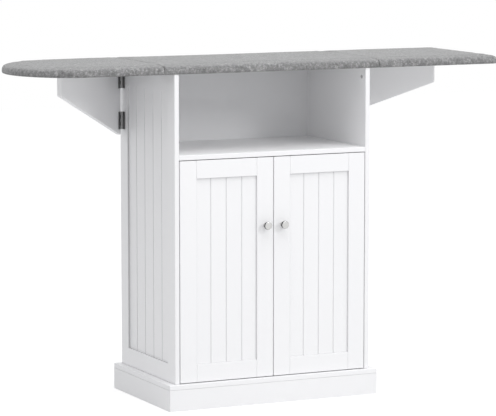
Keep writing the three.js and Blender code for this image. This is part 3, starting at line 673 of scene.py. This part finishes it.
cam_mesh = bpy.data.meshes.new("cam")
cam_form = bmesh.new()
turned(cam_form, CAM_PROFILE, steps=24)
cam_form.to_mesh(cam_mesh)
cam_form.free()
cam_cross = screw(head_r=0.0038, head_t=0.0007)
for side, sign in (("left", -1), ("right", 1)):
    form = bmesh.new()
    for y in CAM_Y:
        floor_x = INNER_FACE + CAM_DEEP + CAM_T
        seat = Vector((CABINET_X + sign * floor_x, CABINET_Y + y, CAM_Z))
        set_in(form, cam_mesh, seat, (-sign, 0, 0))
        seat -= Vector((sign * CAM_SCREW_UP, 0, 0))
        set_in(form, cam_cross, seat, (-sign, 0, 0), CAM_TURN)
    finished(form, f"{side}_cams", dark_steel, "cabinet")


# ---- Flap hinges --------------------------------------------------------------------------------
# Two small zinc hinges sit flush in the underside at each seam, so that a leaf can turn down once
# its bracket is folded in. Each plate has two screws.

SEAM_X = 0.296
FLAP_Y = 0.070
FLAP_SCREW = 0.0108
FLAP_APART = 0.0125
UNDERSIDE = 0.837

flap_screw = screw(head_r=0.0023, head_t=0.0006)
for side, sign in (("left", -1), ("right", 1)):
    for owner, body, toward in (("fixed", "cabinet", -sign), ("leaf", f"{side}_leaf", sign)):
        names = [f"{side}_flap_hinge_{owner}_{place}" for place in ("front", "back")]
        dress(names, zinc)
        form = bmesh.new()
        for y in (-FLAP_Y, FLAP_Y):
            for step in (-1, 1):
                x = sign * SEAM_X + toward * FLAP_SCREW
                seat = (CABINET_X + x, CABINET_Y + y + step * FLAP_APART, UNDERSIDE)
                set_in(form, flap_screw, seat, (0, 0, -1), y * TURN_RATE + step)
        finished(form, f"{side}_flap_screws_{owner}", zinc, body)


# ---- Bumpers ------------------------------------------------------------------------------------
# A soft, milky dot of rubber, stuck on under each leaf where the open bracket's end comes to rest.
# It is worn a little uneven.

soft_rubber = Recipe(bpy.data.materials.new("milky_rubber"))
wear = soft_rubber.speckle(500, detail=3)
soft_rubber.surface(
    Base_Color=soft_rubber.blend(wear, (0.60, 0.60, 0.575), (0.74, 0.74, 0.715)),
    Roughness=soft_rubber.span(wear, 0.2, 0.8, 0.45, 0.65),
    Subsurface_Weight=0.15,
    Subsurface_Scale=0.002,
    Normal=soft_rubber.bump(wear, 0.00005, 0.5),
)
dress(["left_leaf_bumper", "right_leaf_bumper"], soft_rubber)


# ---- Padded covers ------------------------------------------------------------------------------
# Each of the three parts of the ironing surface is a board under felt, in a grey melange cotton
# cover that is drawn tight round the edge, folded under and stapled. The cloth stands full at the
# edge, with small dents and ridges where the pull is uneven.

# The plan, with the length of the left leaf's nose and the corners of the right leaf.
HALF_DEPTH = 0.1755
HALF_GAP = 0.001
LEFT_TIP = 0.641
RIGHT_TIP = 0.650
NOSE_LENGTH = 0.140
RIGHT_CORNER = 0.025
LEAST_CORNER = 0.002
PARTS = {
    "middle": (-SEAM_X + HALF_GAP, SEAM_X - HALF_GAP, "cabinet"),
    "left_leaf": (-LEFT_TIP, -SEAM_X - HALF_GAP, "left_leaf"),
    "right_leaf": (SEAM_X + HALF_GAP, RIGHT_TIP, "right_leaf"),
}

# The roll of the edge: how far in from the plan, and how high above the underside.
ROLL = [
    (0, -0.008),
    (0, 0.0045),
    (0.0002, 0.0090),
    (0.0010, 0.0128),
    (0.0026, 0.0156),
    (0.0055, 0.0180),
    (0.0110, 0.0198),
    (0.0240, 0.0214),
    (0.0450, 0.0222),
]
SLACK = 0.0004
SPARE = 0.008

# The swelling of the cloth, and its dents: noise so many times a metre, from where, and how high.
VOXEL = 0.0055
PRESSURE = 4.0
SIM_FRAMES = 18
PIN_HEIGHT = 0.0035
SWELL = 0.0014
SIDE_SWELL = 0.0009
RIDGES = ((46, 46, 16), (0, 0, 3.7), 0.0007)
LUMPS = ((17, 17, 17), (9.1, 0, 0), 0.0010)
WAVES = ((5, 5, 0), (0, 2.2, 0.5), 0.0006)

# The rolled edges at a seam and at the foot, as radius and pull, and how two parts meet low down.
SEAM_ROLL = (0.003, 0.0014)
FOOT_ROLL = (0.006, 0.0020)
ROLL_CUTS = (1, 0.6, 0.3, 0.1)
SEAM_BULGE = 0.0007
BULGE_IN = (0.004, 0.002)
BULGE_UP = (0.0095, 0.005)

# The room inside a cover for its board, the opening in its hem, and what the hinges take out.
SKIRT = 0.0027
POCKET_TOP = 0.0123
HEM_T = 0.0008
HEM_REACH = 0.018
CUT_DOWN = 0.003
CUT_UP = 0.002
CARCASS_HALF = 0.271
KNUCKLE_ROOM = (0.0043, 0.0228, 0.0028)
PLATE_ROOM = (0.018, 0.0235, 0.0015)
COVER_CREASE = 60


def as_object(form, name):
    """Makes a bmesh into an object, with its faces turned outwards."""
    mesh = bpy.data.meshes.new(name)
    bmesh.ops.recalc_face_normals(form, faces=form.faces)
    form.to_mesh(mesh)
    form.free()
    made = bpy.data.objects.new(name, mesh)
    scene.collection.objects.link(made)
    return made


def settled(made):
    """Applies an object's modifiers to its mesh."""
    shown = made.evaluated_get(bpy.context.evaluated_depsgraph_get())
    mesh = bpy.data.meshes.new_from_object(shown)
    made.modifiers.clear()
    made.data = mesh


def square_end(form, low_x, high_x, half_depth, low_corner, high_corner):
    """The plan of a part with a straight end each way, its corners rounded."""
    bmesh.ops.create_grid(form, x_segments=1, y_segments=1, size=1)
    middle = (low_x + high_x) / 2
    stretch = Matrix.Diagonal(((high_x - low_x) / 2, half_depth, 1, 1))
    across = Matrix.Translation((middle, 0, 0))
    bmesh.ops.transform(form, matrix=across @ stretch, verts=form.verts)
    for is_low, radius in ((True, low_corner), (False, high_corner)):
        corners = [v for v in form.verts if abs(v.co.y) > half_depth - 1e-5]
        corners = [v for v in corners if (v.co.x < middle) == is_low]
        bmesh.ops.bevel(
            form,
            geom=corners,
            offset=radius,
            segments=6,
            profile=0.5,
            affect="VERTICES",
            material=-1,
        )


def cut_off(form, at, out):
    """Takes away what lies beyond a plane, and gives back the edges of the cut."""
    cut = bmesh.ops.bisect_plane(
        form,
        geom=form.verts[:] + form.edges[:] + form.faces[:],
        dist=1e-6,
        plane_co=at,
        plane_no=out,
        clear_outer=True,
    )
    return picked(cut["geom_cut"], bmesh.types.BMEdge)


def nosed(form, tip_x, seam_x, half_depth, nose):
    """The plan of the left leaf: half an ellipse, drawn on in a straight run to the seam."""
    bmesh.ops.create_circle(form, cap_ends=True, segments=96, radius=1)
    squeeze = Matrix.Diagonal((nose, half_depth, 1, 1))
    across = Matrix.Translation((tip_x + nose, 0, 0))
    bmesh.ops.transform(form, matrix=across @ squeeze, verts=form.verts)
    cut_off(form, (tip_x + nose, 0, 0), (1, 0, 0))
    straight = max(form.edges, key=lambda edge: edge.calc_length())
    drawn = bmesh.ops.extrude_edge_only(form, edges=[straight])
    ends = picked(drawn["geom"], bmesh.types.BMVert)
    bmesh.ops.translate(form, verts=ends, vec=(seam_x - tip_x - nose, 0, 0))
    inside = [edge for edge in form.edges if len(edge.link_faces) == 2]
    bmesh.ops.dissolve_edges(form, edges=inside, use_verts=False)


def plan(part, inset, at_seam):
    """The plan of one part in a new bmesh, drawn in from its free edges and from its seams."""
    low_x, high_x, _ = PARTS[part]
    low_x += inset if part == "left_leaf" else at_seam
    high_x -= inset if part == "right_leaf" else at_seam
    form = bmesh.new()
    if part == "left_leaf":
        nosed(form, low_x, high_x, HALF_DEPTH - inset, NOSE_LENGTH - inset)
    else:
        corner = LEAST_CORNER
        if part == "right_leaf":
            corner = max(RIGHT_CORNER - inset, LEAST_CORNER)
        square_end(form, low_x, high_x, HALF_DEPTH - inset, LEAST_CORNER, corner)
    return form


def layered(part):
    """A closed block from plans stacked at several heights, each drawn in to follow the roll."""
    form = bmesh.new()
    below = []
    for level, (inset, lift) in enumerate(ROLL):
        layer = plan(part, SLACK + inset, -SPARE)
        bmesh.ops.translate(layer, verts=layer.verts, vec=(0, 0, UNDERSIDE + lift))
        sheet = bpy.data.meshes.new("layer")
        layer.to_mesh(sheet)
        layer.free()
        before = len(form.edges)
        form.from_mesh(sheet)
        form.edges.ensure_lookup_table()
        here = form.edges[before:]
        if 0 < level < len(ROLL) - 1:
            form.faces.ensure_lookup_table()
            caps = [face for face in form.faces if all(edge in here for edge in face.edges)]
            bmesh.ops.delete(form, geom=caps, context="FACES_ONLY")
            form.edges.ensure_lookup_table()
            here = form.edges[before:]
        if below:
            bmesh.ops.bridge_loops(form, edges=below + here)
        below = here
    return form


def thickened(form, low_z, high_z):
    """Draws a plan up into a closed block between two heights."""
    bmesh.ops.translate(form, verts=form.verts, vec=(0, 0, low_z))
    grown = bmesh.ops.extrude_face_region(form, geom=form.faces[:])
    risen = picked(grown["geom"], bmesh.types.BMVert)
    bmesh.ops.translate(form, verts=risen, vec=(0, 0, high_z - low_z))
    bmesh.ops.recalc_face_normals(form, faces=form.faces)


def swollen(pad):
    """Lets the cloth swell against its foot. It moves only outwards, and only so far."""
    foot = pad.vertex_groups.new(name="foot")
    pinned = [v.index for v in pad.data.vertices if v.co.z < UNDERSIDE + PIN_HEIGHT]
    foot.add(pinned, 1.0, "ADD")
    cloth = pad.modifiers.new("swell", "CLOTH")
    cloth.settings.quality = 4
    cloth.settings.mass = 0.2
    cloth.settings.tension_stiffness = 12
    cloth.settings.compression_stiffness = 12
    cloth.settings.shear_stiffness = 5
    cloth.settings.bending_stiffness = 0.4
    cloth.settings.use_pressure = True
    cloth.settings.uniform_pressure_force = PRESSURE
    cloth.settings.vertex_group_mass = "foot"
    cloth.settings.effector_weights.gravity = 0
    cloth.point_cache.frame_start = 1
    cloth.point_cache.frame_end = SIM_FRAMES
    starts = [(v.co.copy(), v.normal.copy()) for v in pad.data.vertices]
    for step in range(1, SIM_FRAMES + 1):
        scene.frame_set(step)
    settled(pad)
    scene.frame_set(1)
    for vertex, (start, out) in zip(pad.data.vertices, starts):
        most = SIDE_SWELL + (SWELL - SIDE_SWELL) * abs(out.z)
        vertex.co = start + out * min(max((vertex.co - start).dot(out), 0), most)


def wander(point, scale, start, height):
    """How far the cloth stands up or down at a point."""
    place = [along * times + shift for along, times, shift in zip(point, scale, start)]
    return noise.noise(Vector(place)) * height


def dented(form):
    """Small dents and ridges in the cloth, deepest on the edge."""
    form.normal_update()
    moves = []
    for vertex in form.verts:
        point = vertex.co
        sideways = 1 - abs(vertex.normal.z)
        raised = sideways * (wander(point, *RIDGES) + wander(point, *LUMPS))
        raised += (1 - sideways) * wander(point, *WAVES)
        moves.append(vertex.normal * raised)
    for vertex, move in zip(form.verts, moves):
        vertex.co += move


def rolled(form, at, out, radius, pull):
    """Cuts a pad off flat at a plane, and rolls its edge in there, as over a board's corner."""
    at, out = Vector(at), Vector(out)
    for share in ROLL_CUTS:
        bmesh.ops.bisect_plane(
            form,
            geom=form.verts[:] + form.edges[:] + form.faces[:],
            dist=1e-6,
            plane_co=at - out * radius * share,
            plane_no=out,
        )
    bmesh.ops.edgeloop_fill(form, edges=cut_off(form, at, out))
    form.normal_update()
    for vertex in form.verts:
        depth = (at - vertex.co).dot(out) / radius
        if depth < 1:
            sideways = vertex.normal - out * vertex.normal.dot(out)
            turn = 1 - math.sqrt(1 - (1 - max(depth, 0)) ** 2)
            vertex.co -= sideways.normalized() * pull * turn


def met(form, seam, toward):
    """Lets the cloth stand out low down at a seam, so that the two parts all but meet there."""
    for vertex in form.verts:
        near = (BULGE_IN[0] - abs(vertex.co.x - seam)) / BULGE_IN[1]
        low = (UNDERSIDE + BULGE_UP[0] - vertex.co.z) / BULGE_UP[1]
        vertex.co.x += toward * SEAM_BULGE * min(max(near, 0), 1) * min(max(low, 0), 1)


def taken_out(pad, form):
    """Takes the room of a closed form out of a pad."""
    cutter = as_object(form, "room")
    room = pad.modifiers.new("room", "BOOLEAN")
    room.operation = "DIFFERENCE"
    room.solver = "MANIFOLD"
    room.object = cutter
    settled(pad)
    bpy.data.objects.remove(cutter)


def block(low, high):
    """A square room between two corners, to cut with."""
    low, high = Vector(low), Vector(high)
    form = bmesh.new()
    size = Matrix.Diagonal((*(high - low), 1))
    middle = Matrix.Translation((low + high) / 2)
    bmesh.ops.create_cube(form, size=1, matrix=middle @ size)
    return form


melange = Recipe(bpy.data.materials.new("melange_cotton"))
fibre = melange.speckle(1500, detail=3, roughness=0.7, stretch=(0.35, 1, 1))
yarn = melange.speckle(520, detail=3, roughness=0.65, stretch=(0.4, 1, 0.8))
blotch = melange.speckle(150, detail=4, roughness=0.62, stretch=(1, 0.9, 0.8))
drift = melange.speckle(14, detail=2)
heather = fibre * 0.20 + yarn * 0.30 + blotch * 0.44 + drift * 0.06
weave_stops = [
    (0.38, (0.095, 0.095, 0.096)),
    (0.465, (0.168, 0.168, 0.169)),
    (0.535, (0.238, 0.238, 0.239)),
    (0.62, (0.43, 0.429, 0.427)),
]


def threads(direction):
    """The ripple of the threads that lie across one way, from 0 to 1."""
    settings = {"wave_type": "BANDS", "bands_direction": direction}
    inputs = {"Vector": melange.place(), "Scale": 620.0, "Distortion": 2.5, "Detail": 2.0}
    return melange.lay("ShaderNodeTexWave", settings, inputs, "Fac")


warp, weft = threads("X"), threads("Y")
melange.surface(
    Base_Color=melange.lay("ShaderNodeValToRGB", {"stops": weave_stops}, {"Fac": heather}),
    Roughness=melange.span(fibre, 0.2, 0.8, 0.85, 0.97),
    Sheen_Weight=0.42,
    Sheen_Roughness=0.5,
    Normal=melange.bump(warp * 0.3 + weft * 0.3 + yarn * 0.4, 0.0004, 0.8),
)

for part, (low_x, high_x, body) in PARTS.items():
    pad = as_object(layered(part), f"{part}_padded_cover")
    remesh = pad.modifiers.new("even", "REMESH")
    remesh.mode = "VOXEL"
    remesh.voxel_size = VOXEL
    settled(pad)
    swollen(pad)
    finer = pad.modifiers.new("finer", "SUBSURF")
    finer.levels = 1
    finer.render_levels = 1
    settled(pad)

    form = bmesh.new()
    form.from_mesh(pad.data)
    dented(form)
    if part != "left_leaf":
        rolled(form, (low_x, 0, 0), (-1, 0, 0), *SEAM_ROLL)
        met(form, low_x, -1)
    if part != "right_leaf":
        rolled(form, (high_x, 0, 0), (1, 0, 0), *SEAM_ROLL)
        met(form, high_x, 1)
    rolled(form, (0, 0, UNDERSIDE - HEM_T), (0, 0, -1), *FOOT_ROLL)
    bmesh.ops.triangulate(form, faces=[face for face in form.faces if len(face.verts) > 4])
    bmesh.ops.recalc_face_normals(form, faces=form.faces)
    form.to_mesh(pad.data)
    form.free()

    pocket = plan(part, SKIRT, SKIRT)
    thickened(pocket, UNDERSIDE, UNDERSIDE + POCKET_TOP)
    taken_out(pad, pocket)
    below, over = UNDERSIDE - CUT_DOWN, UNDERSIDE + CUT_UP
    if part == "middle":
        reach = HALF_DEPTH - SKIRT
        taken_out(pad, block((-CARCASS_HALF, -reach, below), (CARCASS_HALF, reach, over)))
    else:
        opening = plan(part, HEM_REACH, HEM_REACH)
        thickened(opening, below, over)
        taken_out(pad, opening)
    for seam in (-SEAM_X, SEAM_X):
        if low_x - 2 * HALF_GAP < seam < high_x + 2 * HALF_GAP:
            for y in (-FLAP_Y, FLAP_Y):
                for reach, half, deep in (KNUCKLE_ROOM, PLATE_ROOM):
                    high = (seam + reach, y + half, UNDERSIDE + deep)
                    taken_out(pad, block((seam - reach, y - half, below), high))
    pad.data.transform(Matrix.Translation((CABINET_X, CABINET_Y, 0)))
    for polygon in pad.data.polygons:
        polygon.use_smooth = True
    pad.data.set_sharp_from_angle(angle=math.radians(COVER_CREASE))
    pad.data.materials.clear()
    pad.data.materials.append(melange.owner)
    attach(pad, body)
    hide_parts(f"{part}_cover")


# ---- Staples ------------------------------------------------------------------------------------
# Bright wire staples hold the folded hem of each cover to the underside of its board, some 45 mm
# apart and about halfway across the hem.

STAPLE_W = 0.010
STAPLE_R = 0.00045
STAPLE_BEND = 0.0009
STAPLE_IN = 0.0105
STAPLE_APART = 0.045
STAPLE_SUNK = 0.0005
FIRST_STAPLE = 0.030
MIDDLE_STAPLES = (-0.157, -0.118, -0.022, 0.022, 0.118, 0.157)
SEAM_STAPLES = (-0.118, -0.022, 0.022, 0.118)
END_STAPLES = (-0.135, -0.09, -0.045, 0, 0.045, 0.09, 0.135)
NOSE_STAPLES = range(-72, 73, 16)
SKEW = 0.12

wire = bmesh.new()
start = Matrix.Translation((-STAPLE_W / 2, 0, 0))
bmesh.ops.create_circle(wire, segments=8, radius=STAPLE_R, matrix=start)
ring = wire.edges[:]
for centre in (-STAPLE_W / 2 + STAPLE_BEND, STAPLE_W / 2 - STAPLE_BEND):
    bend = bmesh.ops.spin(
        wire,
        geom=ring + list({vert for edge in ring for vert in edge.verts}),
        cent=(centre, 0, 0),
        axis=(0, 1, 0),
        angle=math.pi / 2,
        steps=4,
        use_merge=False,
    )
    ring = picked(bend["geom_last"], bmesh.types.BMEdge)
    if centre < 0:
        drawn = bmesh.ops.extrude_edge_only(wire, edges=ring)
        far = picked(drawn["geom"], bmesh.types.BMVert)
        bmesh.ops.translate(wire, verts=far, vec=(STAPLE_W - 2 * STAPLE_BEND, 0, 0))
        ring = picked(drawn["geom"], bmesh.types.BMEdge)
        ring = [edge for edge in ring if all(vert in far for vert in edge.verts)]
bmesh.ops.holes_fill(wire, edges=wire.edges[:], sides=0)
bmesh.ops.recalc_face_normals(wire, faces=wire.faces)
staple = bpy.data.meshes.new("staple")
wire.to_mesh(staple)
wire.free()


def crossing(x, places):
    """Staples in a row across the depth, at one x."""
    return [(x, y, math.pi / 2) for y in places]


hem_face = UNDERSIDE - HEM_T + STAPLE_SUNK
row = HALF_DEPTH - STAPLE_IN
for part, (low_x, high_x, body) in PARTS.items():
    if part == "middle":
        spots = crossing(low_x + STAPLE_IN, MIDDLE_STAPLES)
        spots += crossing(high_x - STAPLE_IN, MIDDLE_STAPLES)
    else:
        seam_x, sign, straight = high_x, -1, LEFT_TIP - SEAM_X - NOSE_LENGTH
        if part == "right_leaf":
            seam_x, sign, straight = low_x, 1, RIGHT_TIP - SEAM_X - RIGHT_CORNER
        spots = []
        for step in range(int((straight - FIRST_STAPLE) / STAPLE_APART) + 1):
            x = seam_x + sign * (FIRST_STAPLE + step * STAPLE_APART)
            spots += [(x, -row, 0), (x, row, 0)]
        spots += crossing(seam_x + sign * STAPLE_IN, SEAM_STAPLES)
    if part == "right_leaf":
        spots += crossing(high_x - STAPLE_IN, END_STAPLES)
    if part == "left_leaf":
        nose = NOSE_LENGTH - STAPLE_IN
        for degrees in NOSE_STAPLES:
            turn = math.radians(degrees)
            x = low_x + NOSE_LENGTH - nose * math.cos(turn)
            slope = math.atan2(row * math.cos(turn), nose * math.sin(turn))
            spots.append((x, row * math.sin(turn), -slope))
    form = bmesh.new()
    for index, (x, y, turn) in enumerate(spots):
        skew = SKEW * noise.noise(Vector((index * 1.7, x * 9, y * 9)))
        seat = (CABINET_X + x, CABINET_Y + y, hem_face)
        set_in(form, staple, seat, (0, 0, -1), turn + skew)
    finished(form, f"{part}_staples", zinc, body)


# ---- Size ---------------------------------------------------------------------------------------
# The box of everything shown, in metres, the floor left out.

low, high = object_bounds()
